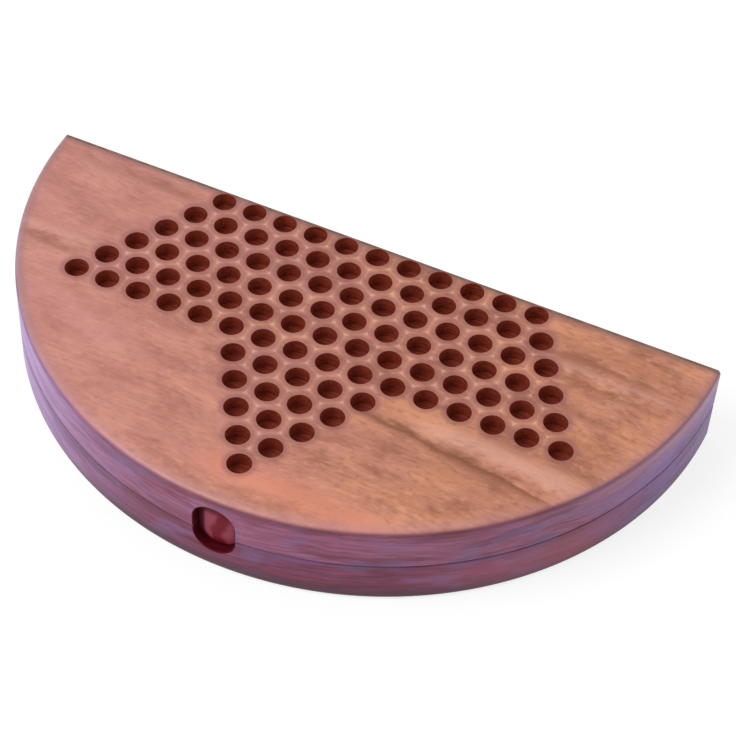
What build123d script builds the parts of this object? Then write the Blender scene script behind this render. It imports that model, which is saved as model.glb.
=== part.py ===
"""Folding star-game board: two half-disc boards of solid wood, hinged like a book.

Folded, the lower half lies on its playing face and the upper half lies on it, playing
face up. Each half carries its part of a six-pointed star of peg holes on its outer face
and a routed tray in its inner face. Opened flat, the two faces make one round board.
Millimetres, +Z up, X along the hinge, the round side towards -Y. The origin is the
middle of the folded board's footprint, on the table.
"""
import os
from math import cos, pi, radians, sin, sqrt

from build123d import *

# Board
disc_radius = 137.0
half_thickness = 18.7
seam_gap = 0.2  # between the inner faces when folded
edge_gap = 0.2  # between the straight faces when open
rim_round = 2.5  # round-over of the playing face along the arc
straight_ease = 0.8  # bevel of the playing face along the straight edge
seam_ease = 0.5  # bevel of the inner face along the arc

# Star of peg holes
star_margin = 18.8  # from the middle of the outermost hole to the rim
hole_web = 4.0  # wood between two holes
hole_depth = 6.5
hole_sides = 10  # flats of each hole, few because there are so many of them
point_rows = 5  # rows of holes in each point of the star
star_offset = 1.7  # the star is drilled a little to the right of the board's middle

# Tray in each half
rim_wall = 14.0
hinge_strip = 15.0  # solid wood between the straight face and the tray
tray_floor = 3.4  # wood between the tray and the holes
tray_corner = 6.0

# Upright thumb slot across the seam, and the plug that fills most of it
thumb_width = 16.0
thumb_height = 23.0
thumb_depth = 9.0
thumb_offset = 1.2  # its middle is a little to the right of the board's
thumb_rise = 2.2  # and a little above the seam
thumb_flats = 8  # flats of each of its round ends
plug_clearance = 0.3
plug_setback = 2.2  # from the rim to the crown of the plug
plug_dome = 1.2  # fall of the plug's front from its crown to its edge
plug_dome_width = 3.0
plug_flats = 6

# Pegs
peg_play = 1.0  # how much thinner a peg is than its hole
peg_length = 19.0
peg_sides = 8  # flats of each peg, a multiple of four so that a peg's width is its diameter
peg_gap = 0.2  # between pegs that lie side by side
row_gap = 0.4  # between rows of pegs, and between the first row and the tray's side
peg_colours = ("red", "blue", "green", "yellow", "white", "black")

# Hinges
hinge_inset = 52.0  # from the end of the straight edge to the middle of each hinge
barrel_length = 26.0
barrel_diameter = 4.0
pin_diameter = 2.0
pin_fit = 0.02  # radial, pin in the lower leaf
pin_running = 0.05  # radial, pin in the upper leaf
outer_knuckle = 7.0
knuckle_gap = 0.15
leaf_reach = 10.5  # from the hinge axis to the leaf's far edge
leaf_thickness = 1.0
leaf_clearance = 0.1  # round and under each leaf in its recess
barrel_clearance = 0.3

# Hinge screws, two to a leaf
screw_spacing = 16.0
screw_place = 6.5  # from the hinge axis
screw_shank = 2.0
screw_head = 3.6
screw_land = 0.1  # straight edge of the head above its countersink
screw_length = 8.0
screw_clearance = 0.05
small_sides = 8  # flats of the screws, magnets and knuckles

# Magnets that hold the case shut
magnet_diameter = 6.0
magnet_thickness = 3.0
magnet_clearance = 0.1
magnet_turn = 30.0  # degrees round the rim from its middle

# Sizes that follow
seam = half_thickness + seam_gap / 2  # height of the hinge axis
row_pitch = (disc_radius - star_margin) / (2 * point_rows + 0.5)
hole_pitch = row_pitch * 2 / sqrt(3)
hole_diameter = hole_pitch - hole_web  # across the flats
peg_diameter = hole_diameter - peg_play  # across the flats
tray_depth = half_thickness - hole_depth - tray_floor
tray_radius = disc_radius - rim_wall
hinge_place = disc_radius - hinge_inset
barrel_radius = barrel_diameter / 2
middle_knuckle = barrel_length - 2 * (outer_knuckle + knuckle_gap)
magnet_ring = disc_radius - rim_wall / 2
head_depth = (screw_head - screw_shank) / 2  # a 90 degree countersink
beyond = 1.0  # how far a cutting tool runs past the face that it opens

FOLDED_UPPER = Plane.XY.offset(seam)  # mirroring in it turns a lower half into an upper one


def small_round(radius):
    """The section of a small turned part, drawn with flats that touch its circle."""
    return RegularPolygon(radius, small_sides, major_radius=False)


def sunk(section, depth):
    """A straight hole or peg of this section, from z = 0 down."""
    return extrude(section, -depth)


def half_disc(radius, setback):
    """The part of a disc that lies more than setback behind the hinge line."""
    width = 2 * radius + beyond
    keep = Pos(0, -setback) * Rectangle(width, width, align=(Align.CENTER, Align.MAX))
    return Circle(radius) & keep


def star_row(number):
    """How many holes a row has, counted from the long middle row of the star's waist."""
    waist = 2 * point_rows + 1
    return waist + number if number <= point_rows else waist - number


def star_holes(first_row):
    """Hole centres from first_row out to the star's tip. The hinge line runs midway
    between the waist row and the next one."""
    places = []
    for row in range(first_row, 2 * point_rows + 1):
        count = star_row(row)
        rows_out = row + 0.5 if first_row == 0 else row - 0.5
        for i in range(count):
            x = star_offset + (i - (count - 1) / 2) * hole_pitch
            places.append((x, -rows_out * row_pitch))
    return places


def along_x(section, length):
    """A bar of this section, centred on the origin."""
    return Rot(0, 90, 0) * extrude(section, length / 2, both=True)


def thumb_section(inset, flats):
    """The slot's outline, shrunk by inset, with its round ends drawn as flats."""
    radius = thumb_width / 2 - inset
    straight = (thumb_height - thumb_width) / 2
    turns = [pi * i / flats for i in range(flats + 1)]
    top = [(radius * cos(turn), straight + radius * sin(turn)) for turn in turns]
    return make_face(Polyline(*top, *[(-x, -y) for x, y in top], close=True))


def from_thumb_floor(solid, rise):
    """Turns a solid that stands on z = 0 to stand on the slot's floor, facing out of the rim.
    The slot's middle is this far above the seam, or below it if rise is negative."""
    return Pos(thumb_offset, thumb_depth - disc_radius, seam + rise) * Rot(90, 0, 0) * solid


def magnet_places():
    """Points in the middle of the rim wall, one on each side of the thumb slot."""
    turns = (radians(-90 - magnet_turn), radians(-90 + magnet_turn))
    return [(magnet_ring * cos(turn), magnet_ring * sin(turn)) for turn in turns]


def hinge_places():
    return [("left", -hinge_place), ("right", hinge_place)]


def screw_places(hinge_x):
    return [(hinge_x + side * screw_spacing / 2, -screw_place) for side in (-1, 1)]


def hinge_cut(hinge_x):
    """Recess for one leaf and half of the barrel, and the pilot holes, in a lower half."""
    top = half_thickness
    length = barrel_length + 2 * leaf_clearance
    depth = leaf_thickness + leaf_clearance
    recess = Box(length, leaf_reach + leaf_clearance, depth, align=(Align.CENTER, Align.MAX, Align.MAX))
    cut = Pos(hinge_x, 0, top) * recess
    notch_length = barrel_length + 2 * barrel_clearance
    notch = along_x(Circle(barrel_radius + barrel_clearance), notch_length)
    cut += Pos(hinge_x, 0, seam) * notch
    pilot = sunk(small_round(screw_shank / 2 + screw_clearance), screw_length + screw_clearance)
    for x, y in screw_places(hinge_x):
        cut += Pos(x, y, top) * pilot
    return cut


def half_blank():
    """A solid half-disc lying on its playing face, with its edges eased."""
    round_in = rim_round * (1 - sin(radians(45)))
    profile = Polyline(
        (0, 0),
        (disc_radius - rim_round, 0),
        (disc_radius - round_in, round_in),
        (disc_radius, rim_round),
        (disc_radius, half_thickness - seam_ease),
        (disc_radius - seam_ease, half_thickness),
        (0, half_thickness),
        close=True,
    )
    blank = Rot(0, 0, 180) * revolve(Plane.XZ * make_face(profile), Axis.Z, 180)
    blank -= Box(2 * disc_radius + beyond, edge_gap, 3 * half_thickness)
    face_y = -edge_gap / 2
    corner = Polyline(
        (face_y - straight_ease - beyond, -beyond),
        (face_y + beyond, straight_ease + beyond),
        (face_y + beyond, -beyond),
        close=True,
    )
    return blank - extrude(Plane.YZ * make_face(corner), disc_radius, both=True)


def board_half(first_row, rise):
    """One half as it lies when it is the lower one, playing face down at z = 0. The thumb
    slot's middle is rise beyond the seam, as this half sees it."""
    half = half_blank()
    tray = half_disc(tray_radius, hinge_strip)
    tray = fillet(tray.vertices(), tray_corner)
    half -= Pos(0, 0, half_thickness - tray_depth) * extrude(tray, tray_depth + beyond)
    slot = extrude(thumb_section(0, thumb_flats), thumb_depth + beyond)
    half -= from_thumb_floor(slot, rise)

    hole = RegularPolygon(hole_diameter / 2, hole_sides, major_radius=False)
    half -= extrude(Sketch() + [Pos(x, y) * hole for x, y in star_holes(first_row)], hole_depth)

    socket_section = small_round(magnet_diameter / 2 + magnet_clearance)
    socket = sunk(socket_section, magnet_thickness + magnet_clearance)
    half -= [Pos(x, y, half_thickness) * socket for x, y in magnet_places()]
    for _, hinge_x in hinge_places():
        half -= hinge_cut(hinge_x)
    return half


def magnets():
    """Two discs flush with the lower half's inner face."""
    disc = sunk(small_round(magnet_diameter / 2), magnet_thickness)
    return [Pos(x, y, half_thickness) * disc for x, y in magnet_places()]


def thumb_plug():
    """Plug with a domed front, glued into the lower half's part of the slot."""
    length = thumb_depth - plug_clearance - plug_setback
    plug = extrude(thumb_section(plug_clearance, plug_flats), length)
    front = plug.faces().sort_by(Axis.Z)[-1]
    plug = chamfer(front.edges(), plug_dome_width, plug_dome, reference=front)
    return from_thumb_floor(Pos(0, 0, plug_clearance) * plug, thumb_rise)


def peg_rows():
    """Places of the pegs that lie in the lower tray, in full rows from the hinge side."""
    places = []
    wanted = len(peg_colours) * point_rows * (point_rows + 1) // 2
    near = hinge_strip + row_gap
    while len(places) < wanted:
        far = near + peg_length
        room = 2 * sqrt(tray_radius**2 - far**2) - 2 * row_gap
        count = min(int((room + peg_gap) / (peg_diameter + peg_gap)), wanted - len(places))
        for i in range(count):
            x = (i - (count - 1) / 2) * (peg_diameter + peg_gap)
            places.append((x, -near))
        near = far + row_gap
    return places


def peg_set(places):
    """Pegs on the tray's floor, each lying on a flat with its axis along Y."""
    section = RegularPolygon(
        peg_diameter / 2, peg_sides, major_radius=False, rotation=180 / peg_sides
    )
    floor = half_thickness - tray_depth
    peg = extrude(Plane.XZ * section, peg_length)
    return [Pos(x, y, floor + peg_diameter / 2) * peg for x, y in places]


def leaf(is_lower):
    """A hinge leaf with its knuckles, for the hinge axis on X and the lower half below it.
    The lower leaf has the two outer knuckles and the upper one the middle knuckle."""
    outer_middle = (barrel_length - outer_knuckle) / 2
    outer = [(-outer_middle, outer_knuckle), (outer_middle, outer_knuckle)]
    middle = [(0, middle_knuckle)]
    own, other = (outer, middle) if is_lower else (middle, outer)
    bore = pin_diameter / 2 + (pin_fit if is_lower else pin_running)

    plate = Box(barrel_length, leaf_reach, leaf_thickness, align=(Align.CENTER, Align.MAX, Align.MAX))
    plate = Pos(0, 0, -seam_gap / 2) * plate
    notch = 2 * (barrel_radius + barrel_clearance)
    for x, length in other:
        plate -= Pos(x, 0, 0) * Box(length + 2 * knuckle_gap, notch, notch)
    knuckle = RegularPolygon(barrel_radius, small_sides)
    for x, length in own:
        plate += Pos(x, 0, 0) * along_x(knuckle, length)
    plate -= along_x(small_round(bore), barrel_length + beyond)
    for x, y in screw_places(0):
        plate -= Pos(x, y, -seam_gap / 2) * screw_body(screw_clearance)
    return plate


def screw_body(grow):
    """A countersunk wood screw, head flush at z = 0, grown sideways by grow."""
    head = sunk(small_round(screw_head / 2 + grow), screw_land + head_depth)
    head = chamfer(head.edges().group_by(Axis.Z)[0], head_depth)
    return head + sunk(small_round(screw_shank / 2 + grow), screw_length)


def hinge_nodes(side, hinge_x):
    """Two leaves, a pin and two pairs of screws."""
    at_axis = Pos(hinge_x, 0, seam)
    screw = screw_body(0)
    lower_screws = [Pos(x, y, half_thickness) * screw for x, y in screw_places(hinge_x)]
    return {
        f"{side}_hinge_lower_leaf": at_axis * leaf(True),
        f"{side}_hinge_upper_leaf": mirror(at_axis * leaf(False), FOLDED_UPPER),
        f"{side}_hinge_pin": at_axis * along_x(Circle(pin_diameter / 2), barrel_length),
        f"{side}_hinge_lower_screws": lower_screws,
        f"{side}_hinge_upper_screws": [mirror(s, FOLDED_UPPER) for s in lower_screws],
    }


def build():
    nodes = {
        "lower_half": board_half(first_row=1, rise=thumb_rise),
        "upper_half": mirror(board_half(first_row=0, rise=-thumb_rise), FOLDED_UPPER),
        "thumb_plug": thumb_plug(),
        "lower_magnets": magnets(),
        "upper_magnets": [mirror(m, FOLDED_UPPER) for m in magnets()],
    }
    for side, hinge_x in hinge_places():
        nodes.update(hinge_nodes(side, hinge_x))
    places = peg_rows()
    per_colour = len(places) // len(peg_colours)
    for i, colour in enumerate(peg_colours):
        nodes[f"pegs_{colour}"] = peg_set(places[i * per_colour : (i + 1) * per_colour])
    return nodes


def main():
    os.makedirs("parts", exist_ok=True)
    to_origin = Pos(0, (disc_radius - barrel_radius) / 2, 0)
    for name, made in build().items():
        solids = made if isinstance(made, list) else made.solids()
        placed = [to_origin * solid for solid in solids]
        shape = placed[0] if len(placed) == 1 else Compound(children=placed)
        export_step(shape, f"parts/{name}.step")


main()
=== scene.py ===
"""Looks of the folding star-game board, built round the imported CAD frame.

Helper lengths are in millimetres and become metres when a mesh is made. Both halves are made
lying on their playing face, with the hinge line on X, and then put in place.
"""
import random
from math import asin, cos, pi, radians, sin, sqrt

import bmesh
import bpy
from mathutils import Matrix, Vector
from mathutils.geometry import delaunay_2d_cdt


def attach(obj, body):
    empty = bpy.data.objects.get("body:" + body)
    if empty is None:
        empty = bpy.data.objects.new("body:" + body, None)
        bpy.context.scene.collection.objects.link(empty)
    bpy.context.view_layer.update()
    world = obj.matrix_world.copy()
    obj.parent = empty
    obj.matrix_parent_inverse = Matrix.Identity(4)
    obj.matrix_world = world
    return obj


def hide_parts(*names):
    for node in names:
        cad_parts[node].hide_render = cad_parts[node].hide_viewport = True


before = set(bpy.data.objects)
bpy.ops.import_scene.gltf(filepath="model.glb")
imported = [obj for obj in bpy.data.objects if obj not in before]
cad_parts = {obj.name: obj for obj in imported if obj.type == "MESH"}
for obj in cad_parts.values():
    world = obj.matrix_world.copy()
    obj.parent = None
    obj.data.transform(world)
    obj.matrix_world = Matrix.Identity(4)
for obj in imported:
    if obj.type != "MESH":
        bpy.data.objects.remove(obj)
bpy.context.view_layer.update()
rng = random.Random(7)

# Sizes, the same as in the part's source
DISC_R, HALF_T, SEAM_GAP, EDGE_GAP = 137.0, 18.7, 0.2, 0.2
SEAM = HALF_T + SEAM_GAP / 2
RIM_ROUND, STRAIGHT_EASE, SEAM_EASE = 2.5, 0.8, 0.5
POINT_ROWS, STAR_OFFSET, STAR_MARGIN, HOLE_WEB = 5, 1.7, 18.8, 4.0
ROW = (DISC_R - STAR_MARGIN) / (2 * POINT_ROWS + 0.5)
PITCH = ROW * 2 / sqrt(3)
HOLE_R, HOLE_DEPTH = (PITCH - HOLE_WEB) / 2, 6.5
RIM_WALL, HINGE_STRIP, TRAY_DEPTH, TRAY_CORNER = 14.0, 15.0, 8.8, 6.0
TRAY_R = DISC_R - RIM_WALL
THUMB_WIDTH, THUMB_HEIGHT, THUMB_DEPTH, THUMB_OFFSET, THUMB_RISE = 16.0, 23.0, 9.0, 1.2, 2.2
PLUG_CLEAR, PLUG_SETBACK, PLUG_DOME = 0.3, 2.2, 1.2
PEG_PLAY, PEG_LENGTH, PEG_GAP, ROW_GAP = 1.0, 19.0, 0.2, 0.4
PEG_R = HOLE_R - PEG_PLAY / 2
HINGE_X, BARREL, BARREL_R, PIN_R = 85.0, 26.0, 2.0, 1.0
OUTER_KNUCKLE, KNUCKLE_GAP = 7.0, 0.15
LEAF_REACH, LEAF_T, LEAF_CLEAR, BARREL_CLEAR = 10.5, 1.0, 0.1, 0.3
SCREW_SPACING, SCREW_PLACE, SCREW_R, HEAD_R, SCREW_LENGTH = 16.0, 6.5, 1.0, 1.8, 8.0
SCREW_LAND, SCREW_CLEAR = 0.1, 0.05
MAGNET_R, MAGNET_T, MAGNET_TURN, MAGNET_CLEAR = 3.0, 3.0, 30.0, 0.1
PEGS_EACH = 15
SHIFT = (DISC_R - BARREL_R) / 2  # from the hinge axis to the middle of the footprint

# Small forms and clearances that only the scene has
MOUTH, TRAY_FOOT, TRAY_EASE, THUMB_EASE, PLUG_EASE = 0.3, 1.2, 0.4, 0.5, 0.5
SMALL_EASE = 0.25  # of the holes' floors, the magnets and the pins
CENTRE_MARK = ((1.1, 0.0), (0.5, 0.35), (0.05, 0.6))  # the drill's, as radius and depth
LEAF_CORNER, LEAF_WEAR, COUNTERSINK = 1.5, 0.12, 0.9
THREAD_CORE, THREAD_TOP, THREAD_PITCH, SCREW_TIP = 0.62, 0.95, 0.55, 1.6
SLOT_REACH, SLOT_WIDTH, SLOT_DEPTH = 1.15, 0.44, 0.55
PEG_DOME, PEG_SLIDE = 3.2, 0.12
PIN_CLEAR, SCREW_END_CLEAR = 0.05, 0.1  # round the pins in all leaves, and under the screws
BEYOND = 1.0  # how far a cutter reaches past the face that it cuts

# Steps along curves and round turned forms
ARC_STEPS, TRAY_STEPS, THUMB_STEPS, WRAP_STEPS, CORNER_STEPS, DOME_STEPS = 160, 96, 24, 40, 8, 12
HOLE_SIDES, ROUND_SIDES, SMALL_SIDES, PILOT_SIDES, PEG_SIDES = 36, 48, 32, 24, 28

OUTSIDE, HOLES, INSIDE, THUMB = range(4)  # material slots of a half
WORN_BANDS = 2  # bands of faces in each hole's mouth that have the colour of the playing face

TO_PLACE = Matrix.Translation((0, SHIFT, 0))
UPSIDE = Matrix.Translation((0, 0, 2 * SEAM)) @ Matrix.Diagonal((1, 1, -1, 1))  # lower half to upper


# Meshes

def mesh_object(name, verts, faces, materials, slots=None, place=Matrix()):
    """A mesh from millimetre points."""
    mesh = bpy.data.meshes.new(name)
    mesh.from_pydata([(place @ Vector(v)) * 0.001 for v in verts], [], faces)
    for material in materials:
        mesh.materials.append(material)
    if slots:
        mesh.polygons.foreach_set("material_index", slots)
    obj = bpy.data.objects.new(name, mesh)
    bpy.context.scene.collection.objects.link(obj)
    return obj


def put(obj, place):
    """Moves a finished mesh by a placing in millimetres."""
    obj.data.transform(Matrix.Scale(0.001, 4) @ place @ Matrix.Scale(1000, 4))


def loft(rings, closed=True):
    """Quads between equal rings of points, which run the same way."""
    n = len(rings[0])
    verts = [p for ring in rings for p in ring]
    faces = []
    for r in range(len(rings) - 1):
        for i in range(n if closed else n - 1):
            j = (i + 1) % n
            faces.append((r * n + i, r * n + j, (r + 1) * n + j, (r + 1) * n + i))
    return verts, faces


def capped(rings):
    """A closed solid: a loft with a flat face at each end."""
    verts, faces = loft(rings)
    n = len(rings[0])
    faces.append(tuple(reversed(range(n))))
    faces.append(tuple(range(len(verts) - n, len(verts))))
    return verts, faces


def joined(meshes):
    """Several meshes as one."""
    verts, faces = [], []
    for more_verts, more_faces in meshes:
        base = len(verts)
        verts += more_verts
        faces += [tuple(i + base for i in f) for f in more_faces]
    return verts, faces


def arc(x, y, z, radius, start, turn, steps):
    """Points round part of a level circle, both ends included."""
    turns = [start + turn * i / steps for i in range(steps + 1)]
    return [(x + radius * cos(t), y + radius * sin(t), z) for t in turns]


def circle(x, y, z, radius, count):
    return arc(x, y, z, radius, 0.0, 2 * pi, count)[:-1]


def quarter(steps):
    """Angles in equal steps from zero to a quarter turn."""
    return [pi / 2 * i / steps for i in range(steps + 1)]


def rounding(radius, steps):
    """Pairs of distances from the two faces that a rounded edge joins, from (0, radius) round to
    (radius, 0)."""
    return [(radius * (1 - cos(t)), radius * (1 - sin(t))) for t in quarter(steps)]


def turned(profile, count, place):
    """A solid of revolution about Z from (radius, z) pairs with z rising, put in place."""
    verts, faces = capped([circle(0, 0, z, radius, count) for radius, z in profile])
    return [tuple(place @ Vector(v)) for v in verts], faces


def bar_x(x0, x1, z, radius, count):
    """A round bar along X, over the hinge line or on it."""
    ring = circle(0, z, 0, radius, count)
    return capped([[(x, a, b) for a, b, _ in ring] for x in (x0, x1)])


def block(x0, x1, y0, y1, z0, z1):
    ring = [(x0, y0), (x1, y0), (x1, y1), (x0, y1)]
    return capped([[(x, y, z) for x, y in ring] for z in (z0, z1)])


def face_out(obj, merge=0.0):
    """Turns every face of a closed mesh outward, after joining points closer than merge metres."""
    work = bmesh.new()
    work.from_mesh(obj.data)
    if merge:
        bmesh.ops.remove_doubles(work, verts=work.verts, dist=merge)
    bmesh.ops.recalc_face_normals(work, faces=work.faces)
    work.to_mesh(obj.data)
    work.free()


def smooth(obj, angle=35.0):
    """Outward faces, and smooth shading that keeps sharp edges sharp and flat faces nearly flat."""
    face_out(obj)
    obj.data.shade_smooth()
    obj.data.set_sharp_from_angle(angle=radians(angle))
    modifier = obj.modifiers.new("even_normals", "WEIGHTED_NORMAL")
    modifier.keep_sharp = True
    modifier.weight = 90
    return obj


def keep_level(obj):
    """Makes the edges round level faces sharp, so that these faces stay level in their shading."""
    work = bmesh.new()
    work.from_mesh(obj.data)
    for edge in work.edges:
        level = [abs(face.normal.z) > 0.9999 for face in edge.link_faces]
        if any(level) and not all(level):
            edge.smooth = False
    work.to_mesh(obj.data)
    work.free()
    return obj


def cutter(mesh, material, place=Matrix()):
    """A solid that cut() takes out of a piece. The cut faces get its material."""
    return mesh_object("cutter", *mesh, [material], place=place)


def cut(obj, cutters):
    """Takes the cutters out of obj and removes them."""
    group = bpy.data.collections.new("cutters")
    bpy.context.scene.collection.children.link(group)
    for piece in cutters + [obj]:
        face_out(piece)
    for piece in cutters:
        bpy.context.scene.collection.objects.unlink(piece)
        group.objects.link(piece)
    modifier = obj.modifiers.new("cut", "BOOLEAN")
    modifier.operation = "DIFFERENCE"
    modifier.operand_type = "COLLECTION"
    modifier.collection = group
    modifier.solver = "EXACT"
    modifier.material_mode = "TRANSFER"
    graph = bpy.context.evaluated_depsgraph_get()
    mesh = bpy.data.meshes.new_from_object(obj.evaluated_get(graph))
    obj.modifiers.clear()
    obj.data = mesh
    for piece in cutters:
        bpy.data.objects.remove(piece)
    bpy.data.collections.remove(group)


# Board halves

def star_holes(first_row):
    """Hole centres of one half, with the hinge line on X and the round side towards -Y."""
    waist = 2 * POINT_ROWS + 1
    places = []
    for row in range(first_row, waist):
        count = waist + row if row <= POINT_ROWS else waist - row
        rows_out = row + 0.5 if first_row == 0 else row - 0.5
        for i in range(count):
            places.append((STAR_OFFSET + (i - (count - 1) / 2) * PITCH, -rows_out * ROW))
    return places


def half_arc(radius, z):
    """Points round the arc from the left end to the right one."""
    spare = asin(EDGE_GAP / 2 / radius)
    return arc(0, 0, z, radius, pi + spare, pi - 2 * spare, ARC_STEPS)


def rim_profile():
    """(radius, z) up the outside, from the playing face to the inner face."""
    points = [(DISC_R - inset, z) for z, inset in rounding(RIM_ROUND, 8)]
    points += [(DISC_R - inset, HALF_T - down) for inset, down in rounding(SEAM_EASE, 3)]
    return points


def peg_hole(x, y):
    """The lining of one drilled hole: eased mouth, wall and a floor with the drill's centre mark.
    The wear of the mouth differs a little from hole to hole. The mouth's points come first."""
    mouth = MOUTH * rng.uniform(0.75, 1.15)
    profile = [(HOLE_R + more, z) for z, more in rounding(mouth, 3)]
    profile += [(HOLE_R, HOLE_DEPTH - SMALL_EASE), (HOLE_R - SMALL_EASE, HOLE_DEPTH)]
    profile += [(radius, HOLE_DEPTH + depth) for radius, depth in CENTRE_MARK]
    verts, faces = loft([circle(x, y, z, radius, HOLE_SIDES) for radius, z in profile])
    faces.append(tuple(range(len(verts) - HOLE_SIDES, len(verts))))
    return verts, faces


def playing_face(mouths, outline):
    """The flat playing face at z = 0 between the arc, the straight edge and the hole mouths.
    A triangle whose corners are all on one mouth lies inside that hole, and is left out."""
    points, edges, loops = [], [], []
    for number, loop in enumerate([outline] + mouths):
        base = len(points)
        points += [Vector(p[:2]) for p in loop]
        edges += [(base + i, base + (i + 1) % len(loop)) for i in range(len(loop))]
        loops += [number] * len(loop)
    flat, _, triangles, origins, *_ = delaunay_2d_cdt(points, edges, [], 1, 1e-4)
    owner = [loops[o[0]] for o in origins]
    faces = [tuple(t) for t in triangles if len({owner[i] for i in t}) > 1 or owner[t[0]] == 0]
    return [(p.x, p.y, 0.0) for p in flat], faces


def tray_outline(inset, z):
    """The tray's half-moon, shrunk by inset. Its two corners keep their centres."""
    radius, back, corner = TRAY_R - inset, HINGE_STRIP + inset, TRAY_CORNER - inset
    across = sqrt((radius - corner) ** 2 - (back + corner) ** 2)
    lean = asin((back + corner) / (radius - corner))
    wall = arc(0, 0, z, radius, pi + lean, pi - 2 * lean, TRAY_STEPS)
    right = arc(across, -back - corner, z, corner, -lean, pi / 2 + lean, CORNER_STEPS)
    left = arc(-across, -back - corner, z, corner, pi / 2, pi / 2 + lean, CORNER_STEPS)
    return wall + right[1:] + left[:-1]


def tray_cutter(material):
    """A routed tray with a rounded foot and an eased mouth."""
    floor = HALF_T - TRAY_DEPTH
    rings = [tray_outline(inset, floor + up) for up, inset in rounding(TRAY_FOOT, 4)]
    rings += [tray_outline(-grow, HALF_T - down) for grow, down in rounding(TRAY_EASE, 3)]
    rings.append(tray_outline(-TRAY_EASE, HALF_T + BEYOND))
    return cutter(capped(rings), material)


def thumb_outline(grow):
    """The upright thumb slot's outline as (across, up) pairs from its middle, grown by grow."""
    radius, straight = THUMB_WIDTH / 2 + grow, (THUMB_HEIGHT - THUMB_WIDTH) / 2
    top = [(x, z) for x, z, _ in arc(0, straight, 0, radius, 0, pi, THUMB_STEPS)]
    return top + [(-x, -z) for x, z in top]


def thumb_cutter(material, rise):
    """The thumb slot, with an eased mouth that follows the curve of the rim."""
    steps = [(0.0, -THUMB_DEPTH, False)]
    steps += [(grow, -down, True) for grow, down in rounding(THUMB_EASE, 4)]
    steps.append((THUMB_EASE, 2 * BEYOND, True))
    rings = []
    for grow, out, follows in steps:
        ring = []
        for x, z in thumb_outline(grow):
            rim = sqrt(DISC_R**2 - (THUMB_OFFSET + x) ** 2) if follows else DISC_R
            ring.append((THUMB_OFFSET + x, -rim - out, SEAM + rise + z))
        rings.append(ring)
    return cutter(capped(rings), material)


def straight_cutter(material):
    """Eases the playing face along the straight edge."""
    face_y, end = -EDGE_GAP / 2, DISC_R + 2 * BEYOND
    section = [(face_y + BEYOND, -BEYOND), (face_y + BEYOND, STRAIGHT_EASE)]
    section += [(face_y - inset, down) for inset, down in rounding(STRAIGHT_EASE, 6)]
    section.append((face_y - STRAIGHT_EASE, -BEYOND))
    return cutter(capped([[(x, y, z) for y, z in section] for x in (-end, end)]), material)


def magnet_places():
    ring = DISC_R - RIM_WALL / 2
    turns = (radians(-90 - MAGNET_TURN), radians(-90 + MAGNET_TURN))
    return [(ring * cos(t), ring * sin(t)) for t in turns]


def screw_places(hinge_x):
    return [(hinge_x + side * SCREW_SPACING / 2, -SCREW_PLACE) for side in (-1, 1)]


def hardware_cutters(material):
    """Magnet sockets, hinge recesses, barrel notches and pilot holes."""
    meshes = []
    top, floor = HALF_T + BEYOND, HALF_T - MAGNET_T - MAGNET_CLEAR
    for x, y in magnet_places():
        rings = [circle(x, y, z, MAGNET_R + MAGNET_CLEAR, ROUND_SIDES) for z in (floor, top)]
        meshes.append(capped(rings))
    wide, near = BARREL / 2 + LEAF_CLEAR, -LEAF_REACH - LEAF_CLEAR
    bed, notch = HALF_T - (LEAF_T + LEAF_CLEAR), BARREL / 2 + BARREL_CLEAR
    for x in (-HINGE_X, HINGE_X):
        meshes.append(block(x - wide, x + wide, near, BEYOND, bed, top))
        meshes.append(bar_x(x - notch, x + notch, SEAM, BARREL_R + BARREL_CLEAR, ROUND_SIDES))
        for at in screw_places(x):
            ends = (HALF_T - SCREW_LENGTH - SCREW_END_CLEAR, HALF_T)
            meshes.append(capped([circle(*at, z, SCREW_R + SCREW_CLEAR, PILOT_SIDES) for z in ends]))
    return [cutter(mesh, material) for mesh in meshes]


def board_half(name, first_row, rise, materials, place):
    """One half. Materials are those of the face and rim, peg holes, inside and thumb slot."""
    arcs = [half_arc(radius, z) for radius, z in rim_profile()]
    linings = [peg_hole(x, y) for x, y in star_holes(first_row)]
    face = playing_face([verts[:HOLE_SIDES] for verts, _ in linings], arcs[0])
    rim_verts, rim_faces = loft(arcs, closed=False)
    n, count = len(arcs[0]), len(rim_verts)
    inner = tuple(range(count - n, count))
    back = tuple(range(0, count, n)) + tuple(range(count - 1, 0, -n))
    lining = joined(linings)
    verts, faces = joined([face, (rim_verts, rim_faces + [inner, back]), lining])
    slots = [OUTSIDE] * (len(face[1]) + len(rim_faces)) + [INSIDE, OUTSIDE]
    per_hole, worn = len(linings[0][1]), WORN_BANDS * HOLE_SIDES
    slots += [HOLES if k % per_hole >= worn else OUTSIDE for k in range(len(lining[1]))]
    obj = mesh_object(name, verts, faces, materials, slots)
    face_out(obj, merge=2e-6)
    cutters = [tray_cutter(materials[INSIDE]), thumb_cutter(materials[THUMB], rise)]
    cutters += [straight_cutter(materials[OUTSIDE])] + hardware_cutters(materials[INSIDE])
    cut(obj, cutters)
    put(obj, place)
    return keep_level(smooth(obj))


# Procedural materials

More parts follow.
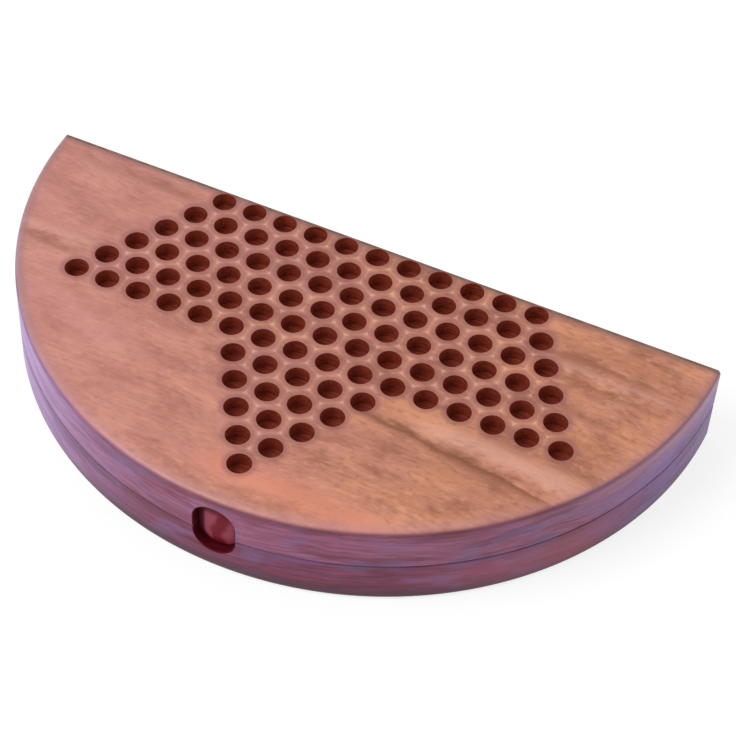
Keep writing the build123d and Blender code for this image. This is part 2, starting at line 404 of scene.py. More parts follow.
class Graph:
    """Short calls for building a node material. A value is a number, a tuple or a socket."""

    def __init__(self, name):
        self.material = bpy.data.materials.new(name)
        self.material.use_nodes = True
        self.tree = self.material.node_tree
        self.tree.nodes.clear()

    def plug(self, socket, value):
        if isinstance(value, bpy.types.NodeSocket):
            self.tree.links.new(value, socket)
        else:
            socket.default_value = value

    def node(self, kind, values=(), **settings):
        """A new node with these settings, and the values in its first sockets."""
        node = self.tree.nodes.new(f"ShaderNode{kind}")
        for name, setting in settings.items():
            setattr(node, name, setting)
        for socket, value in zip(node.inputs, values):
            self.plug(socket, value)
        return node

    def named(self, kind, **values):
        """A new node with values in the sockets of these names, with _ for a space."""
        node = self.node(kind)
        for name, value in values.items():
            self.plug(node.inputs[name.replace("_", " ")], value)
        return node

    def math(self, operation, *values):
        return self.node("Math", values, operation=operation).outputs[0]

    def add(self, a, b):
        return self.math("ADD", a, b)

    def sub(self, a, b):
        return self.math("SUBTRACT", a, b)

    def mul(self, a, b):
        return self.math("MULTIPLY", a, b)

    def mul_add(self, value, factor, more):
        return self.math("MULTIPLY_ADD", value, factor, more)

    def least(self, a, b):
        return self.math("MINIMUM", a, b)

    def most(self, a, b):
        return self.math("MAXIMUM", a, b)

    def absolute(self, value):
        return self.math("ABSOLUTE", value)

    def length(self, a, b):
        """The root of the sum of both squares."""
        return self.math("SQRT", self.add(self.mul(a, a), self.mul(b, b)))

    def vector(self, operation, a, b):
        return self.node("VectorMath", (a, b), operation=operation).outputs[0]

    def split(self, vector):
        return self.node("SeparateXYZ", [vector]).outputs

    def join(self, x, y, z):
        return self.node("CombineXYZ", (x, y, z)).outputs[0]

    def millimetres(self):
        """Where a point of the piece is, in millimetres."""
        place = self.node("TexCoord").outputs["Object"]
        return self.vector("MULTIPLY", place, (1000, 1000, 1000))

    def noise(self, vector, scale, detail=2.0, roughness=0.5, colour=False):
        """Noise with its own scale along each axis."""
        scaled = self.vector("MULTIPLY", vector, scale)
        node = self.named("TexNoise", Vector=scaled, Scale=1.0, Detail=detail, Roughness=roughness)
        return node.outputs["Color" if colour else "Fac"]

    def range(self, value, low, high, to_low=0.0, to_high=1.0, shape="SMOOTHSTEP"):
        values = (value, low, high, to_low, to_high)
        return self.node("MapRange", values, interpolation_type=shape).outputs[0]

    def mix(self, factor, a, b, blend="MIX"):
        """Mixes two colours, which are inputs 6 and 7 and output 2 of the node."""
        node = self.node("Mix", [factor], data_type="RGBA", blend_type=blend)
        self.plug(node.inputs[6], a)
        self.plug(node.inputs[7], b)
        return node.outputs[2]

    def dim(self, colour, factor):
        return self.mix(1.0, colour, self.join(factor, factor, factor), "MULTIPLY")

    def bump(self, height, distance):
        return self.named("Bump", Height=height, Distance=distance, Strength=1.0).outputs[0]

    def surface(self, shader):
        """The finished material."""
        self.node("OutputMaterial", [shader.outputs[0]])
        return self.material

    def finish(self, colour, roughness, normal, **constants):
        """The finished material with a principled shader."""
        sockets = {"Base_Color": colour, "Roughness": roughness, "Normal": normal}
        return self.surface(self.named("BsdfPrincipled", **sockets, **constants))


def srgb(*display):
    """A display colour of 0 to 255 as the linear colour that a shader takes."""
    linear = [c / 255 / 12.92 if c <= 10 else ((c / 255 + 0.055) / 1.055) ** 2.4 for c in display]
    return (*linear, 1.0)


def streak(g, x, y, start, end, width, wobble):
    """1 along a line in the grain from start to end, fading out on both sides and ends."""
    fade = 12.0
    along = g.range(x, start[0], end[0], shape="LINEAR")
    middle = g.mul_add(along, end[1] - start[1], start[1])
    off = g.add(g.sub(y, middle), wobble)
    near = g.range(g.absolute(off), width, 0.0)
    first = g.range(x, start[0] - fade / 2, start[0] + fade)
    last = g.range(x, end[0] + fade / 2, end[0] - fade)
    return g.mul(near, g.mul(first, last))


def grain(g, place, seed):
    """Wood with its grain along X, as factors for broad and finer colour, growth rings, fibres and
    pores."""
    p = g.vector("ADD", place, seed)
    warp = g.noise(p, (0.009, 0.016, 0.016), colour=True)
    warp = g.vector("SUBTRACT", warp, (0.5, 0.5, 0.5))
    bent = g.vector("ADD", p, g.vector("MULTIPLY", warp, (0, 18, 18)))
    _, y, z = g.split(bent)
    rings = g.math("FRACT", g.mul(g.length(g.sub(y, 25.0), g.add(z, 120.0)), 0.12))
    pores = g.noise(bent, (0.16, 2.6, 2.6), roughness=0.6)
    return {
        "broad": g.noise(bent, (0.007, 0.03, 0.03), detail=3, roughness=0.55),
        "mottle": g.noise(bent, (0.045, 0.09, 0.09), detail=3, roughness=0.6),
        "speck": g.noise(bent, (0.25, 0.5, 0.5), detail=3, roughness=0.6),
        "rings": g.mul(g.range(rings, 0.0, 0.75), g.range(rings, 1.0, 0.8)),
        "fibre": g.noise(bent, (0.045, 1.3, 1.3), detail=5, roughness=0.62),
        "pores": g.range(pores, 0.61, 0.74),
    }


def from_hole(g, x, y, first_row):
    """Distances in millimetres from the nearest peg hole in the rows before and behind, middle to
    middle, and how far out from the star's slanted edge, in pitches. The smaller distance is right
    up to one row away."""
    rows_out = g.mul_add(y, -1 / ROW, SHIFT / ROW)
    across = g.mul(g.sub(x, STAR_OFFSET), 1 / PITCH)
    base = g.math("FLOOR", g.sub(rows_out, 0.5))
    distances, ends = [], []
    for step in (0, 1):
        from_hinge = g.add(base, step)
        row = g.add(from_hinge, first_row)
        shift = g.mul(g.math("FLOORED_MODULO", row, 2), 0.5)
        nearest = g.add(g.math("ROUND", g.sub(across, shift)), shift)
        in_point = g.math("GREATER_THAN", row, POINT_ROWS + 0.5)
        count = g.add(row, 2 * POINT_ROWS + 1)
        count = g.sub(count, g.mul(in_point, g.mul(row, 2)))
        last = g.mul_add(count, 0.5, -0.5)
        ends.append(last)
        nearest = g.most(g.least(nearest, last), g.mul(last, -1))
        dx = g.mul(g.sub(across, nearest), PITCH)
        dy = g.mul(g.sub(rows_out, g.add(from_hinge, 0.5)), ROW)
        missing = g.most(g.math("LESS_THAN", from_hinge, -0.5), g.math("LESS_THAN", count, 0.5))
        distances.append(g.mul_add(missing, 100.0, g.length(dx, dy)))
    part = g.math("FRACT", g.sub(rows_out, 0.5))
    edge = g.mul_add(g.sub(ends[1], ends[0]), part, ends[0])
    edge = g.least(edge, g.add(g.least(*ends), 0.25))
    return (*distances, g.sub(g.absolute(across), edge))


def face_colour(g, w, x, y, first_row):
    """Varnished playing face: salmon brown, warmer to the right, with lighter dots where the holes'
    webs meet and a darker ring round each hole that is painted shade. The upper face also has
    streaks."""
    side = g.range(g.mul_add(w["broad"], 160.0, x), -60.0, 170.0)
    colour = g.mix(side, srgb(204, 137, 126), srgb(203, 135, 108))
    warm = g.mul(side, g.range(w["broad"], 0.42, 0.68, 0.0, 0.5))
    colour = g.mix(warm, colour, srgb(204, 136, 98))
    contrast = g.range(side, 0.0, 1.0, 0.38, 0.72)
    bright = g.mix(side, srgb(222, 158, 142), srgb(228, 154, 116))
    shade = g.mix(side, srgb(178, 114, 104), srgb(168, 104, 76))
    colour = g.mix(g.mul(g.range(w["mottle"], 0.5, 0.64), contrast), colour, bright)
    colour = g.mix(g.mul(g.range(w["mottle"], 0.5, 0.36), contrast), colour, shade)
    flecks = g.mul(contrast, 0.55)
    colour = g.mix(g.mul(g.range(w["speck"], 0.54, 0.66), flecks), colour, srgb(230, 168, 136))
    colour = g.mix(g.mul(g.range(w["speck"], 0.46, 0.34), flecks), colour, srgb(156, 92, 74))
    colour = g.mix(g.mul(w["rings"], 0.1), colour, srgb(150, 92, 74))
    colour = g.dim(colour, g.range(w["fibre"], 0.32, 0.70, 0.94, 1.05))
    if first_row == 0:
        wobble = g.mul_add(w["mottle"], 7.0, g.mul_add(w["speck"], 3.0, -5.0))
        for start, end, width, strength, tone in STREAKS:
            here = g.mul(streak(g, x, y, start, end, width, wobble), strength)
            colour = g.mix(here, colour, srgb(*tone))
    colour = g.mix(g.mul(w["pores"], 0.3), colour, srgb(120, 70, 54))
    one, other, beyond = from_hole(g, x, y, first_row)
    near, far = g.least(one, other), g.most(one, other)
    between = g.mul(g.range(near, HOLE_R + 2.1, HOLE_R + 2.95), g.range(far, 11.0, 8.0))
    between = g.mul(between, g.range(beyond, 0.25, 0.0))
    colour = g.mix(g.mul(between, 0.5), colour, srgb(240, 190, 186))
    # Painted shade: a darker ring round each hole's mouth, as if the hole's shade spread onto the
    # face.
    stained = g.range(near, HOLE_R + 3.0, HOLE_R + 0.5)
    return g.mix(g.mul(stained, 0.5), colour, srgb(140, 82, 88))


def rim_colour(g, w, x, y, z, tones):
    """Mauve rim with streaks along it, its mauve part stain and part painted cool light. Painted
    reflection turns it lavender at the arc's ends; painted shade darkens it at the seam and the
    foot."""
    on_arc = g.range(y, SHIFT - 0.2, SHIFT - 1.0)
    around = g.mul(g.math("ARCTAN2", x, g.sub(SHIFT, y)), DISC_R)
    along = g.mul_add(on_arc, g.sub(around, x), x)
    bent = g.join(along, 0.0, g.mul_add(w["broad"], 12.0, z))
    fibre = g.noise(bent, (0.05, 0.0, 1.1), detail=4, roughness=0.62)
    streaks = g.noise(bent, (0.022, 0.0, 0.2), detail=3, roughness=0.6)
    # Painted reflection: the rim turns lavender towards both ends of the arc, and nearly white at
    # the very left end.
    left = g.mul(on_arc, g.range(x, -18.0, -120.0, 0.0, 0.88))
    tip_highlight = g.mul(on_arc, g.range(x, -122.0, -136.0, 0.0, 0.5))
    right = g.mul(on_arc, g.range(x, 112.0, 137.0, 0.0, 0.8))
    stains = []
    for tone, on_left, on_right in zip(tones, LEFT_END_REFLECTION, RIGHT_END_REFLECTION):
        stain = g.mix(right, g.mix(left, tone, on_left), on_right)
        stains.append(g.mix(tip_highlight, stain, srgb(208, 186, 194)))
    light, dark, line = stains
    colour = g.mix(g.range(fibre, 0.35, 0.65), dark, light)
    colour = g.mix(g.range(streaks, 0.5, 0.62, 0.0, 0.8), colour, line)
    colour = g.mix(g.range(streaks, 0.44, 0.34, 0.0, 0.5), colour, light)
    # The pores on the left take the lavender of the painted reflection too.
    pore = g.mix(left, srgb(72, 26, 44), srgb(128, 88, 148))
    colour = g.mix(g.mul(w["pores"], 0.25), colour, pore)
    patches = g.noise(bent, (0.04, 0.0, 0.11), roughness=0.55)
    plain = g.range(x, -80.0, -30.0)
    patchy = g.mul(on_arc, plain)
    bluish = g.mul(patchy, g.range(patches, 0.5, 0.62, 0.0, 0.4))
    colour = g.mix(bluish, colour, srgb(124, 98, 148))
    crimson = g.mul(patchy, g.range(patches, 0.47, 0.36, 0.0, 0.4))
    colour = g.mix(crimson, colour, srgb(120, 34, 58))
    blush = g.mul(g.range(x, 60.0, 98.0), g.range(x, 132.0, 112.0))
    blush = g.mul(blush, g.range(z, 20.0, 14.0))
    colour = g.mix(g.mul(blush, 0.35), colour, srgb(186, 96, 118))
    # Painted highlight: lighter pink on the upper half's rim at the right end of the arc.
    pink = g.mul(g.range(x, 104.0, 137.0), g.range(z, 24.0, 35.0, 0.0, 0.6))
    colour = g.mix(g.mul(pink, on_arc), colour, srgb(206, 144, 158))
    # Painted shadow: a dark band at and just below the seam, where the upper half shades the lower
    # one, stronger to the left.
    seam = g.range(g.absolute(g.sub(z, SEAM - 1.2)), 4.2, 0.4)
    seam = g.mul(seam, g.range(x, -20.0, -70.0, 0.18, 0.45))
    # Painted shade: darker towards the foot of the rim, where it meets the floor.
    foot = g.mul(g.range(z, 9.0, 2.0), plain)
    foot = g.mul(foot, g.range(x, 70.0, 115.0, 0.9, 0.3))
    return g.mix(g.most(seam, foot), colour, srgb(70, 30, 56))


def board_wood(name, face_z, seed, first_row, tones):
    """Satin hardwood of the playing face and rim. face_z is the height of the playing face."""
    g = Graph(name)
    place = g.millimetres()
    w = grain(g, place, seed)
    x, y, z = g.split(place)
    depth = g.absolute(g.sub(z, face_z))
    out = g.length(x, g.sub(y, SHIFT))
    face = face_colour(g, w, x, y, first_row)
    # Painted highlight: a pinkish band just inside the arc's edge, weaker to the right, and not
    # wear.
    worn = g.range(out, DISC_R - 5.5, DISC_R - 2.0)
    worn = g.mul(worn, g.range(x, 60.0, 125.0, 0.42, 0.22))
    face = g.mix(worn, face, srgb(196, 140, 144))
    # Painted shade: a grey-brown band along the left part of the arc's edge and along the straight
    # back edge, where the edges turn away from the light.
    painted_edge_shade = g.mul(g.range(out, DISC_R - 5.0, DISC_R - 2.0), g.range(x, -70.0, -110.0, 0.0, 0.6))
    painted_edge_shade = g.most(painted_edge_shade, g.range(y, SHIFT - 4.6, SHIFT - 2.2))
    face = g.mix(g.mul(painted_edge_shade, 0.5), face, srgb(124, 102, 98))
    # Painted shade: a dark, uneven line right at the straight back edge, which turns away from the
    # light.
    painted_back_shade = g.mul(g.range(y, SHIFT - 2.4, SHIFT - 1.2), g.range(w["speck"], 0.36, 0.6, 0.25, 0.8))
    face = g.mix(painted_back_shade, face, srgb(92, 76, 64))
    colour = g.mix(g.range(depth, 0.0, 1.8), face, rim_colour(g, w, x, y, z, tones))
    # Painted shade: a dark line on the round-over just below the playing face, greyer and stronger
    # at the left end as painted dark reflection.
    line = g.mul(g.range(depth, 0.5, 1.4), g.range(depth, 4.2, 2.0))
    end = g.range(x, -90.0, -125.0)
    line = g.mul(line, g.range(end, 0.0, 1.0, 0.4, 0.65))
    colour = g.mix(line, colour, g.mix(end, srgb(96, 48, 54), srgb(122, 102, 102)))
    normal = g.bump(g.sub(g.mul(w["fibre"], 0.35), w["pores"]), 0.00005)
    roughness = g.range(w["fibre"], 0.3, 0.7, 0.5, 0.4)
    gloss = {"Coat_Weight": 0.06, "Coat_Roughness": 0.2, "Specular_IOR_Level": 0.35}
    return g.finish(colour, roughness, normal, **gloss)


def hole_wood(name, light, dark):
    """Lining of drilled holes, rough from the drill, darker partly from a real stain and partly as
    painted shade.
    """
    g = Graph(name)
    w = grain(g, g.millimetres(), (40, 9, 3))
    colour = g.mix(g.range(w["fibre"], 0.3, 0.7), light, dark)
    return g.finish(colour, 0.62, g.bump(w["fibre"], 0.00012), Specular_IOR_Level=0.15)


def inner_wood(name, seed):
    """Lightly oiled wood of the inner faces and trays, paler than the varnished outside."""
    g = Graph(name)
    w = grain(g, g.millimetres(), seed)
    colour = g.mix(g.range(w["broad"], 0.35, 0.65), srgb(196, 140, 112), srgb(178, 118, 90))
    colour = g.mix(g.mul(w["rings"], 0.3), colour, srgb(138, 86, 66))
    colour = g.dim(colour, g.range(w["fibre"], 0.3, 0.7, 0.84, 1.08))
    colour = g.mix(g.mul(w["pores"], 0.45), colour, srgb(104, 60, 44))
    height = g.sub(g.mul(w["fibre"], 0.5), w["pores"])
    return g.finish(colour, 0.6, g.bump(height, 0.00008))


def red_wood(name):
    """Red stained plug with a bent red streak. The pink patches on both sides of the streak are
    painted reflection, and the darker top and the dark edge, heavier on the left, are painted shade.
    """
    g = Graph(name)
    place = g.millimetres()
    x, _, z = g.split(place)
    blotch = g.noise(place, (0.3, 0.05, 0.2), detail=4, roughness=0.6)
    fleck = g.noise(place, (1.6, 0.2, 1.2), detail=3)
    dx = g.sub(x, THUMB_OFFSET)
    up = g.sub(z, SEAM + THUMB_RISE)
    above = g.most(g.sub(g.absolute(up), (THUMB_HEIGHT - THUMB_WIDTH) / 2), 0.0)
    bend = g.most(g.mul_add(up, 0.37, 1.1), g.mul_add(up, -0.19, -0.57))
    across = g.add(g.sub(dx, bend), g.mul_add(blotch, 3.0, -1.5))
    # Painted reflection: pink patches on both sides of the red streak stand in for the dome's gloss.
    worn = g.range(g.absolute(across), 1.2, 3.8)
    colour = g.mix(g.mul(worn, 0.85), srgb(118, 10, 30), srgb(162, 74, 92))
    # Painted shadow: darker towards the top, where the slot's upper lip shades the plug.
    colour = g.mix(g.range(up, 4.6, 6.8, 0.0, 0.8), colour, srgb(104, 18, 34))
    colour = g.mix(g.mul(g.range(fleck, 0.55, 0.7), 0.3), colour, srgb(92, 10, 28))
    # Painted shade: dark round the plug's edge, heavier on the left, where the slot's walls shade
    # it.
    edge = g.range(g.mul_add(dx, -0.25, g.length(dx, above)), 5.2, 7.0)
    colour = g.mix(g.mul(edge, 0.9), colour, srgb(70, 0, 14))
    return g.finish(colour, 0.45, g.bump(fleck, 0.00004), Specular_IOR_Level=0.12)


def peg_wood(name, light, dark):
    """Dyed peg with its grain along Y showing through the dye."""
    g = Graph(name)
    place = g.millimetres()
    fibre = g.noise(place, (1.5, 0.09, 1.5), detail=4, roughness=0.6)
    broad = g.noise(place, (0.11, 0.02, 0.11), detail=1)
    colour = g.mix(g.range(fibre, 0.35, 0.68), light, dark)
    colour = g.dim(colour, g.range(broad, 0.3, 0.7, 0.86, 1.1))
    return g.finish(colour, 0.4, g.bump(fibre, 0.00005), Coat_Weight=0.15, Coat_Roughness=0.2)


def metal(name, colour, worn, roughness):
    """Metal with fine scratches and patches of tarnish."""
    g = Graph(name)
    place = g.millimetres()
    patches = g.noise(place, (0.5, 0.5, 0.5), detail=4, roughness=0.6)
    scratch = g.noise(place, (0.3, 7.0, 7.0), detail=3)
    mixed = g.mix(g.range(patches, 0.45, 0.75), colour, worn)
    rough = g.range(patches, 0.3, 0.8, roughness - 0.06, roughness + 0.16)
    return g.finish(mixed, rough, g.bump(scratch, 0.00002), Metallic=1.0)


# Streaks of the upper playing face, as (start, end, half width, strength, colour), in millimetres
BROWN, PALE = (140, 84, 56), (220, 164, 148)
STREAKS = [
    ((24, -9), (82, -15), 3.0, 0.6, BROWN),
    ((56, -14), (110, -20), 3.0, 0.55, (148, 86, 54)),
    ((28, -10), (110, -19), 1.4, 0.5, (118, 68, 40)),
    ((48, -5), (116, -9), 7.0, 0.55, (236, 176, 156)),
    ((-14, -55), (62, -56), 11.0, 0.75, (228, 144, 118)),
    ((-112, -8), (-60, -22), 12.0, 0.35, (222, 156, 148)),
    ((30, -16), (90, -22), 9.0, 0.25, BROWN),
    ((-132, 13), (-98, 12), 2.6, 0.5, BROWN),
    ((-128, 15), (-98, 14), 1.6, 0.35, BROWN),
    ((-134, 19), (-92, 18), 3.6, 0.5, PALE),
    ((70, 44), (132, 42), 2.4, 0.4, PALE),
    ((78, 48), (128, 47), 2.2, 0.35, BROWN),
    ((80, 38), (130, 36), 2.8, 0.35, BROWN),
    ((84, 24), (126, 22), 2.4, 0.3, BROWN),
    ((72, 56), (124, 54), 5.0, 0.35, (184, 116, 70)),
    ((88, 12), (124, 10), 5.0, 0.3, (184, 116, 70)),
    ((-126, 60), (-70, 57), 3.4, 0.3, BROWN),
]

# Rim tones as lighter and darker fibres and the lines between them; mauve partly painted cool light,
# end tones painted reflection
LEFT_END_REFLECTION = (srgb(202, 164, 226), srgb(176, 136, 202), srgb(158, 114, 178))
RIGHT_END_REFLECTION = (srgb(140, 100, 178), srgb(114, 74, 150), srgb(100, 58, 130))
upper_tones = (srgb(164, 96, 130), srgb(134, 63, 96), srgb(114, 44, 70))
# The lower half's darker tones are partly painted shade under the upper half.
lower_tones = (srgb(140, 60, 98), srgb(104, 30, 66), srgb(100, 22, 46))
UPPER_SEED, LOWER_SEED = (13, 41, 5), (220, -90, 60)
upper_wood = board_wood("upper_wood", 2 * SEAM, UPPER_SEED, 0, upper_tones)
lower_wood = board_wood("lower_wood", 0.0, LOWER_SEED, 1, lower_tones)
# The peg holes' darker lining is partly stain and partly painted shade in the holes.
hole_lining = hole_wood("hole_lining", srgb(118, 42, 28), srgb(162, 70, 50))
# The slot's near-black lining is partly a dark stain and partly painted shade inside the slot.
thumb_lining = hole_wood("thumb_lining", srgb(64, 0, 12), srgb(90, 2, 18))
upper_inner = inner_wood("upper_inner", UPPER_SEED)
lower_inner = inner_wood("lower_inner", LOWER_SEED)
plug_red = red_wood("plug_red")
brass = metal("brass", srgb(214, 178, 104), srgb(196, 156, 88), 0.26)
nickel = metal("nickel", srgb(206, 206, 208), srgb(168, 166, 164), 0.24)
PEG_DYES = {
    "red": (srgb(196, 44, 36), srgb(150, 24, 22)),
    "blue": (srgb(38, 78, 158), srgb(22, 50, 116)),
    "green": (srgb(44, 128, 66), srgb(24, 92, 44)),
    "yellow": (srgb(232, 190, 62), srgb(206, 158, 38)),
    "white": (srgb(236, 228, 212), srgb(212, 200, 180)),
    "black": (srgb(46, 42, 40), srgb(26, 24, 23)),
}


def settle(obj, body, node):
    """Puts a finished piece on its body, in place of its CAD node."""
    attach(obj, body)
    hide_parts(node)


lower_materials = [lower_wood, hole_lining, lower_inner, thumb_lining]
lower = board_half("lower_board", 1, THUMB_RISE, lower_materials, TO_PLACE)
settle(lower, "lower", "lower_half")
upper_materials = [upper_wood, hole_lining, upper_inner, thumb_lining]
upper = board_half("upper_board", 0, -THUMB_RISE, upper_materials, TO_PLACE @ UPSIDE)
settle(upper, "upper", "upper_half")


# Small parts

def thumb_plug():
    """Upright plug with a domed front, standing back from the rim in the thumb slot."""
    back, length = THUMB_DEPTH - DISC_R - PLUG_CLEAR, THUMB_DEPTH - PLUG_CLEAR - PLUG_SETBACK
    chamfer, reach = 0.3, THUMB_WIDTH / 2 - PLUG_CLEAR - 0.05
    profile = [(chamfer, 0.0), (0.0, chamfer)]
    profile += [(inset, length - PLUG_DOME - down) for inset, down in rounding(PLUG_EASE, 4)]
    for i in range(1, DOME_STEPS + 1):
        share = 1 - i / DOME_STEPS
        profile.append((reach - (reach - PLUG_EASE) * share, length - PLUG_DOME * share**2))
    rings = []
    for inset, out in profile:
        outline = thumb_outline(-PLUG_CLEAR - inset)
        rings.append([(THUMB_OFFSET + x, back - out, SEAM + THUMB_RISE + z) for x, z in outline])
    return smooth(mesh_object("thumb_plug_dome", *capped(rings), [plug_red], place=TO_PLACE))


def magnet_set(name, place):
    """Two magnets with eased edges."""
    foot = HALF_T - MAGNET_T
    profile = [(MAGNET_R - SMALL_EASE, foot), (MAGNET_R, foot + SMALL_EASE)]
    profile += [(MAGNET_R - inset, HALF_T - down) for inset, down in rounding(SMALL_EASE, 3)]
    places = [Matrix.Translation((x, y, 0)) for x, y in magnet_places()]
    discs = joined([turned(profile, ROUND_SIDES, at) for at in places])
    return smooth(mesh_object(name, *discs, [nickel], place=place))


def leaf_section():
    """Outline in Y and Z of a leaf that wraps round the hinge axis."""
    low, high = -SEAM_GAP / 2 - LEAF_T, -SEAM_GAP / 2
    first, last = -sqrt(BARREL_R**2 - low**2), -sqrt(BARREL_R**2 - high**2)
    start, end = pi + asin(-low / BARREL_R), pi + asin(-high / BARREL_R) + 2 * pi
    points = [(-LEAF_REACH, low), (first - 0.4, low)]
    points += [(y, z) for y, z, _ in arc(0, 0, 0, BARREL_R, start, end - start, WRAP_STEPS)]
    points += [(last - 0.2, high), (-LEAF_REACH, high)]
    return points


def corner_cutters(hinge_x):
    """Cutters that round the two far corners of a leaf."""
    cutters = []
    away = LEAF_CORNER + BEYOND
    for side in (-1, 1):
        x, y = hinge_x + side * (BARREL / 2 - LEAF_CORNER), -LEAF_REACH + LEAF_CORNER
        ring = [(x + side * away, y), (x + side * away, y - away), (x, y - away)]
        for t in quarter(CORNER_STEPS):
            ring.append((x + side * LEAF_CORNER * sin(t), y - LEAF_CORNER * cos(t)))
        ends = (-LEAF_T - 2 * BEYOND, BEYOND)
        cutters.append(cutter(capped([[(a, b, z) for a, b in ring] for z in ends]), brass))
    return cutters


def hinge_leaf(name, x, is_lower, place):
    """A leaf with its own knuckles, a bore for the pin and countersunk screw holes."""
    section, half = leaf_section(), BARREL / 2
    rings = [[(end, y, z) for y, z in section] for end in (x - half, x + half)]
    leaf = mesh_object(name, *capped(rings), [brass])
    past = half + 2 * BEYOND
    meshes = [bar_x(x - past, x + past, 0, PIN_R + PIN_CLEAR, SMALL_SIDES)]
    middle, end = half - OUTER_KNUCKLE, half + BEYOND
    spans = [(-end, KNUCKLE_GAP - middle), (middle - KNUCKLE_GAP, end)]
    reach, tall = BARREL_R + BARREL_CLEAR, BARREL_R + BEYOND
    for start, stop in [(-middle, middle)] if is_lower else spans:
        meshes.append(block(x + start, x + stop, -reach, reach + BEYOND, -tall, tall))
    top, shank, head = -SEAM_GAP / 2, SCREW_R + SCREW_CLEAR, HEAD_R + SCREW_CLEAR
    steps = [(shank, top - 2 * BEYOND), (shank, top - COUNTERSINK)]
    steps += [(head, top - SCREW_LAND), (head, top + BEYOND)]
    for at in screw_places(x):
        meshes.append(capped([circle(*at, z, radius, SMALL_SIDES) for radius, z in steps]))
    cut(leaf, [cutter(mesh, brass) for mesh in meshes] + corner_cutters(x))
    bevel = leaf.modifiers.new("worn_edges", "BEVEL")
    bevel.width, bevel.segments, bevel.limit_method = LEAF_WEAR / 1000, 2, "ANGLE"
    bevel.angle_limit = radians(40)
    put(leaf, place @ Matrix.Translation((0, 0, SEAM)))
    return smooth(leaf, 30)


def hinge_pin(name, x):
    """A pin with eased ends, along the hinge line."""
    foot = [(PIN_R - inset, rise - BARREL / 2) for rise, inset in rounding(SMALL_EASE, 3)]
    profile = foot + [(radius, -z) for radius, z in reversed(foot)]
    place = TO_PLACE @ Matrix.Translation((x, 0, SEAM)) @ Matrix.Rotation(pi / 2, 4, "Y")
    return smooth(mesh_object(name, *turned(profile, SMALL_SIDES, place), [brass]))


def screw_set(name, hinge_x, place):
    """Two countersunk screws with crossed slots, each turned its own way."""
    z = -SCREW_LENGTH + SCREW_TIP
    profile = [(0.15, -SCREW_LENGTH), (0.6, z)]
    while z < -2.2:
        profile += [(THREAD_CORE, z + 0.1), (THREAD_TOP, z + 0.3), (THREAD_CORE, z + 0.5)]
        z += THREAD_PITCH
    profile += [(0.98, -1.2), (0.98, -0.82)]
    profile += [(HEAD_R, -0.12), (HEAD_R, -0.06), (HEAD_R - 0.1, 0.0)]
    bit = block(-SLOT_REACH, SLOT_REACH, -SLOT_WIDTH / 2, SLOT_WIDTH / 2, -SLOT_DEPTH, BEYOND)
    screws, slots = [], []
    for x, y in screw_places(hinge_x):
        at = Matrix.Translation((x, y, HALF_T))
        screws.append(turned(profile, SMALL_SIDES, at))
        spin = Matrix.Rotation(rng.uniform(0, pi), 4, "Z")
        for turn in (0, pi / 2):
            slots.append(cutter(bit, brass, at @ spin @ Matrix.Rotation(turn, 4, "Z")))
    obj = mesh_object(name, *joined(screws), [brass])
    cut(obj, slots)
    put(obj, place)
    return smooth(obj, 30)


def peg_places():
    """Where the pegs lie in the lower tray, in full rows from the hinge side."""
    total, across = PEGS_EACH * len(PEG_DYES), 2 * PEG_R + PEG_GAP
    places, near = [], HINGE_STRIP + ROW_GAP
    while len(places) < total:
        far = near + PEG_LENGTH
        room = 2 * sqrt(TRAY_R**2 - far**2) - 2 * ROW_GAP
        count = min(int((room + PEG_GAP) / across), total - len(places))
        places += [((i - (count - 1) / 2) * across, -near) for i in range(count)]
        near = far + ROW_GAP
    return places


def peg_set(colour, places):
    """Turned pegs with a domed head and a chamfered foot, lying on the tray's floor."""
    radius, shoulder = PEG_R - 0.04, PEG_LENGTH - PEG_DOME
    profile = [(2.6, 0.0), (3.3, 0.25), (3.75, 0.9), (radius, 1.9), (radius, shoulder)]
    for t in quarter(8)[1:]:
        profile.append((radius * (0.15 + 0.85 * cos(t)), shoulder + PEG_DOME * sin(t)))
    centre = Matrix.Translation((0, 0, -PEG_LENGTH / 2))
    pegs = []
    for x, y in places:
        middle = y - PEG_LENGTH / 2 + rng.uniform(-PEG_SLIDE, PEG_SLIDE)
        at = Matrix.Translation((x, middle, HALF_T - TRAY_DEPTH + PEG_R))
        facing = Matrix.Rotation(pi / 2 if rng.random() < 0.5 else -pi / 2, 4, "X")
        roll = Matrix.Rotation(rng.uniform(0, 2 * pi), 4, "Z")
        pegs.append(turned(profile, PEG_SIDES, TO_PLACE @ at @ facing @ roll @ centre))
    dye = peg_wood(f"peg_{colour}", *PEG_DYES[colour])
    return smooth(mesh_object(f"{colour}_pegs", *joined(pegs), [dye]))


settle(thumb_plug(), "lower", "thumb_plug")
settle(magnet_set("lower_magnet_discs", TO_PLACE), "lower", "lower_magnets")
settle(magnet_set("upper_magnet_discs", TO_PLACE @ UPSIDE), "upper", "upper_magnets")
for side, hinge_x in (("left", -HINGE_X), ("right", HINGE_X)):
    for half, place in (("lower", TO_PLACE), ("upper", TO_PLACE @ UPSIDE)):
        leaf = hinge_leaf(f"{side}_{half}_leaf", hinge_x, half == "lower", place)
        settle(leaf, half, f"{side}_hinge_{half}_leaf")
        screws = screw_set(f"{side}_{half}_screws", hinge_x, place)
        settle(screws, half, f"{side}_hinge_{half}_screws")
    settle(hinge_pin(f"{side}_pin", hinge_x), "lower", f"{side}_hinge_pin")
places = peg_places()
for i, colour in enumerate(PEG_DYES):
    own = places[PEGS_EACH * i : PEGS_EACH * (i + 1)]
    settle(peg_set(colour, own), "lower", f"pegs_{colour}")


# Floor, light and camera

FLOOR_REACH = 9000  # millimetres from the middle
AIM = (0, 0, 0.02)  # of the lights, in metres
FOCAL_PIXELS, PHOTO_PIXELS, SENSOR = 2268.13, 736, 36.0  # the camera fitted to the photo


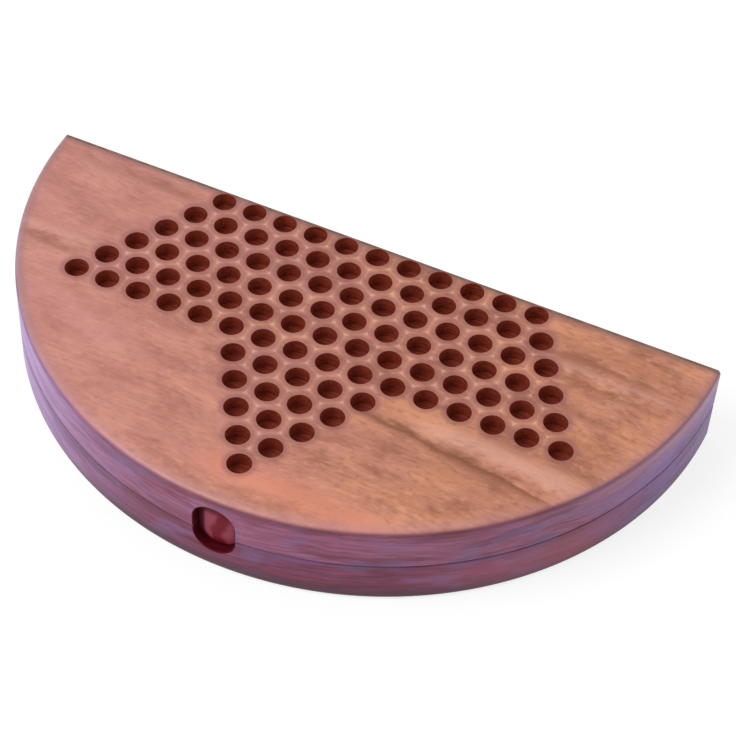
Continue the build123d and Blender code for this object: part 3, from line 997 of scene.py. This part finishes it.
def floor_material():
    """White to the camera and in reflections, and still darkened by the object's shadow."""
    g = Graph("floor_white")
    plain = g.named("BsdfDiffuse", Color=(0.8, 0.8, 0.8, 1))
    shaded = g.named("BsdfDiffuse", Color=(0.3, 0.3, 0.3, 1))
    glow = g.named("Emission", Strength=0.76)
    both = g.node("AddShader", (shaded.outputs[0], glow.outputs[0]))
    ray = g.node("LightPath").outputs
    seen = g.most(ray["Is Camera Ray"], ray["Is Glossy Ray"])
    seen = g.most(seen, ray["Is Transmission Ray"])
    return g.surface(g.node("MixShader", (seen, plain.outputs[0], both.outputs[0])))


def area_light(name, place, size, power, colour=(1, 1, 1)):
    """A round lamp that faces the object."""
    light = bpy.data.lights.new(name, "AREA")
    light.shape, light.size, light.energy, light.color = "DISK", size, power, colour
    obj = bpy.data.objects.new(name, light)
    obj.location = place
    obj.rotation_euler = (Vector(AIM) - Vector(place)).to_track_quat("-Z", "Y").to_euler()
    bpy.context.scene.collection.objects.link(obj)


corners = ((-1, -1), (1, -1), (1, 1), (-1, 1))
floor_verts = [(x * FLOOR_REACH, y * FLOOR_REACH, 0) for x, y in corners]
floor = mesh_object("floor", floor_verts, [(0, 1, 2, 3)], [floor_material()])

world = bpy.data.worlds.new("studio")
world.use_nodes = True
bpy.context.scene.world = world
tree = world.node_tree
background = tree.nodes["Background"]
path = tree.nodes.new("ShaderNodeLightPath")
strength = tree.nodes.new("ShaderNodeMapRange")
strength.inputs["To Min"].default_value = 0.56
strength.inputs["To Max"].default_value = 1.0
tree.links.new(path.outputs["Is Camera Ray"], strength.inputs["Value"])
tree.links.new(strength.outputs[0], background.inputs["Strength"])
background.inputs["Color"].default_value = (0.97, 0.98, 1.0, 1)

area_light("key", (-0.7, -0.7, 1.3), 0.9, 13.0)
area_light("fill", (0.8, 0.3, 1.0), 1.0, 1.2, (0.96, 0.97, 1.0))

camera_data = bpy.data.cameras.new("camera")
camera_data.sensor_width = SENSOR
camera_data.lens = FOCAL_PIXELS / PHOTO_PIXELS * SENSOR
camera_data.clip_start, camera_data.clip_end = 0.01, 50
camera = bpy.data.objects.new("camera", camera_data)
right = Vector((0.903050, 0.427977, 0.036565))
up = Vector((-0.341263, 0.663167, 0.666145))
back = Vector((0.260846, -0.614040, 0.744926))
pose = Matrix((right, up, back)).transposed().to_4x4()
pose.translation = (0.23550, -0.49187, 0.64607)
camera.matrix_world = pose
bpy.context.scene.collection.objects.link(camera)
bpy.context.scene.camera = camera
bpy.context.scene.view_settings.view_transform = "Standard"
